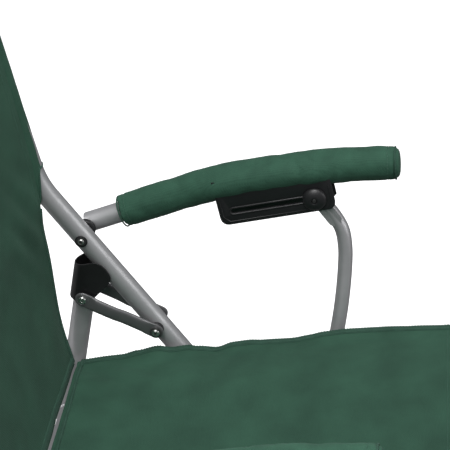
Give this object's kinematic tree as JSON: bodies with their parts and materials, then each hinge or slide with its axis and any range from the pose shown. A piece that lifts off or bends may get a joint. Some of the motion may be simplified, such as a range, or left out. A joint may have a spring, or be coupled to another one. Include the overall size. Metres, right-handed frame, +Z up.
{
  "type": "folding camp chair",
  "caption": "Folding outdoor chair: crossed steel tube frame, saddle brackets with twin links, padded arms on slotted brackets, fabric sling seat and back",
  "frame": {"origin": "centre of the footprint of the open chair on the floor", "axes": "+Z up, the sitter faces -Y, +X is the side of the sitter's left hand"},
  "size_m": [0.603, 0.6722, 0.9962],
  "materials": {
    "frame_steel": "light grey satin powder coat on steel tube",
    "dark_steel": "anthracite coated flat links",
    "zinc_bolts": "zinc plated bolts and rivets",
    "black_plastic": "moulded black plastic, fine grain",
    "green_fabric": "dark green woven polyester with bound hems",
    "padded_fabric": "dark green woven polyester over foam padding"
  },
  "bodies": {
    "front_frame": {"front_bar_low": "frame_steel", "front_bar_high": "frame_steel", "back_panel": "green_fabric", "front_leg_back_post_left": "frame_steel", "front_foot_left": "black_plastic", "back_post_cap_left": "black_plastic", "scissor_bolt_left": "zinc_bolts", "scissor_spacer_left": "black_plastic", "link_bolt_left": "zinc_bolts", "link_spacer_left": "black_plastic", "arm_pivot_bolt_left": "zinc_bolts", "arm_spacer_left": "black_plastic", "back_sleeve_left": "green_fabric", "front_leg_back_post_right": "frame_steel", "front_foot_right": "black_plastic", "back_post_cap_right": "black_plastic", "scissor_bolt_right": "zinc_bolts", "scissor_spacer_right": "black_plastic", "link_bolt_right": "zinc_bolts", "link_spacer_right": "black_plastic", "arm_pivot_bolt_right": "zinc_bolts", "arm_spacer_right": "black_plastic", "back_sleeve_right": "green_fabric"},
    "rear_frame": {"rear_bar": "frame_steel", "seat_front_bar": "frame_steel", "seat_panel": "green_fabric", "rear_leg_seat_rail_left": "frame_steel", "rear_foot_left": "black_plastic", "seat_rail_cap_left": "black_plastic", "support_bolt_left": "zinc_bolts", "stay_foot_bolt_left": "zinc_bolts", "rear_leg_seat_rail_right": "frame_steel", "rear_foot_right": "black_plastic", "seat_rail_cap_right": "black_plastic", "support_bolt_right": "zinc_bolts", "stay_foot_bolt_right": "zinc_bolts"},
    "stay_frame": {"stay_bar": "frame_steel", "rear_stay_left": "frame_steel", "saddle_bracket_left": "black_plastic", "rear_stay_right": "frame_steel", "saddle_bracket_right": "black_plastic"},
    "links_left": {"link_inner_left": "dark_steel", "link_rivet_inner_left": "zinc_bolts", "link_outer_left": "dark_steel", "link_rivet_outer_left": "zinc_bolts"},
    "arm_left": {"arm_tube_left": "frame_steel", "slot_bracket_left": "black_plastic", "arm_pad_left": "padded_fabric"},
    "knob_left": {"slide_knob_left": "black_plastic"},
    "support_left": {"arm_support_left": "frame_steel"},
    "links_right": {"link_inner_right": "dark_steel", "link_rivet_inner_right": "zinc_bolts", "link_outer_right": "dark_steel", "link_rivet_outer_right": "zinc_bolts"},
    "arm_right": {"arm_tube_right": "frame_steel", "slot_bracket_right": "black_plastic", "arm_pad_right": "padded_fabric"},
    "knob_right": {"slide_knob_right": "black_plastic"},
    "support_right": {"arm_support_right": "frame_steel"}
  },
  "joints": [
    {"name": "frame_fold", "type": "hinge", "parent": "front_frame", "child": "rear_frame", "pos_m": [0, -0.04233, 0.32794], "axis": [-1, 0, 0], "range_deg": [0, 66]},
    {"name": "stay_fold", "type": "hinge", "parent": "rear_frame", "child": "stay_frame", "pos_m": [0, 0.20767, 0.03], "axis": [1, 0, 0], "range_deg": [0, 26.46]},
    {"name": "links_swing_left", "type": "hinge", "parent": "front_frame", "child": "links_left", "pos_m": [0.25, 0.06822, 0.45969], "axis": [-1, 0, 0], "range_deg": [0, 127.35]},
    {"name": "arm_tilt_left", "type": "hinge", "parent": "front_frame", "child": "arm_left", "pos_m": [0.282, 0.15891, 0.56776], "axis": [-1, 0, 0], "range_deg": [0, 17.25]},
    {"name": "knob_slide_left", "type": "slide", "parent": "arm_left", "child": "knob_left", "axis": [0, 0.9613, -0.2756], "range_m": [0, 0.09505]},
    {"name": "support_tilt_left", "type": "hinge", "parent": "rear_frame", "child": "support_left", "pos_m": [0.243, -0.13879, 0.4429], "axis": [1, 0, 0], "range_deg": [0, 80.59]},
    {"name": "links_swing_right", "type": "hinge", "parent": "front_frame", "child": "links_right", "pos_m": [-0.25, 0.06822, 0.45969], "axis": [-1, 0, 0], "range_deg": [0, 127.35]},
    {"name": "arm_tilt_right", "type": "hinge", "parent": "front_frame", "child": "arm_right", "pos_m": [-0.282, 0.15891, 0.56776], "axis": [-1, 0, 0], "range_deg": [0, 17.25]},
    {"name": "knob_slide_right", "type": "slide", "parent": "arm_right", "child": "knob_right", "axis": [0, 0.9613, -0.2756], "range_m": [0, 0.09505]},
    {"name": "support_tilt_right", "type": "hinge", "parent": "rear_frame", "child": "support_right", "pos_m": [-0.243, -0.13879, 0.4429], "axis": [1, 0, 0], "range_deg": [0, 80.59]}
  ],
  "couplings": [
    {"joint": "stay_fold", "follows": "frame_fold", "ratio": 0.40068},
    {"joint": "links_swing_left", "follows": "frame_fold", "ratio": 1.9292},
    {"joint": "arm_tilt_left", "follows": "frame_fold", "ratio": 0.26103},
    {"joint": "knob_slide_left", "follows": "frame_fold", "m_per_rad": 0.08247},
    {"joint": "support_tilt_left", "follows": "frame_fold", "ratio": 1.2207},
    {"joint": "links_swing_right", "follows": "frame_fold", "ratio": 1.9292},
    {"joint": "arm_tilt_right", "follows": "frame_fold", "ratio": 0.26103},
    {"joint": "knob_slide_right", "follows": "frame_fold", "m_per_rad": 0.08247},
    {"joint": "support_tilt_right", "follows": "frame_fold", "ratio": 1.2207}
  ]
}
